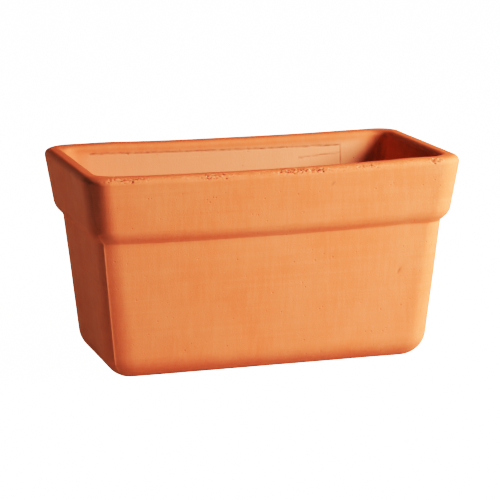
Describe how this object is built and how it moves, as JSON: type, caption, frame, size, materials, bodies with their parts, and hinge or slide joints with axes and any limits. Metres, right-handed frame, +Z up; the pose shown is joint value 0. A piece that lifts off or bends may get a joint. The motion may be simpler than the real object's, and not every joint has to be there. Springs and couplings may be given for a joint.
{
  "type": "self-watering trough planter",
  "caption": "Rectangular terracotta trough with a deep collar, round rim and rolled foot, holding a drop-in water reservoir with wick cups, fill tube and float gauge.",
  "frame": {"origin": "centre of the base, on the surface that the trough stands on", "axes": "+X along the trough to its right end, +Y to its back long side, +Z up to the open mouth; the front long side faces -Y"},
  "size_m": [0.2998, 0.1718, 0.163],
  "materials": {
    "terracotta": "unglazed, fine-grained, matt",
    "tray_plastic": "black, fine moulded grain",
    "platform_plastic": "dark green-grey, moulded",
    "fitting_plastic": "dark grey, smooth",
    "cap_plastic": "green, satin",
    "gasket_rubber": "black, matt",
    "pin_steel": "ground",
    "float_foam": "white closed-cell",
    "rod_plastic": "white, smooth",
    "tip_plastic": "red, glossy",
    "clear_plastic": "clear, polished"
  },
  "bodies": {
    "trough": {"terracotta_trough": "terracotta"},
    "tray": {"reservoir_tray": "tray_plastic", "overflow_pipe": "fitting_plastic", "overflow_gasket": "gasket_rubber", "overflow_nut": "fitting_plastic"},
    "platform": {"soil_platform": "platform_plastic", "platform_leg_front_left": "platform_plastic", "platform_leg_back_left": "platform_plastic", "platform_leg_end_left": "platform_plastic", "platform_leg_front_right": "platform_plastic", "platform_leg_back_right": "platform_plastic", "platform_leg_end_right": "platform_plastic", "wick_cup_left": "platform_plastic", "wick_cup_right": "platform_plastic", "fill_tube": "fitting_plastic", "fill_collar": "fitting_plastic", "fill_hinge_pin": "pin_steel", "gauge_well": "fitting_plastic", "gauge_guide": "fitting_plastic", "gauge_retainer": "fitting_plastic", "gauge_sight_cap": "clear_plastic"},
    "fill_cap": {"fill_cap": "cap_plastic"},
    "float": {"gauge_float": "float_foam", "gauge_rod": "rod_plastic", "gauge_tip": "tip_plastic"}
  },
  "joints": [
    {"name": "tray_lift", "type": "slide", "parent": "trough", "child": "tray", "axis": [0, 0, 1], "range_m": [0, 0.165]},
    {"name": "platform_lift", "type": "slide", "parent": "tray", "child": "platform", "axis": [0, 0, 1], "range_m": [0, 0.15]},
    {"name": "fill_cap_hinge", "type": "hinge", "parent": "platform", "child": "fill_cap", "pos_m": [0.088, -0.006, 0.1422], "axis": [-1, 0, 0], "range_deg": [0, 110]},
    {"name": "float_rise", "type": "slide", "parent": "platform", "child": "float", "axis": [0, 0, 1], "range_m": [0, 0.027]}
  ]
}
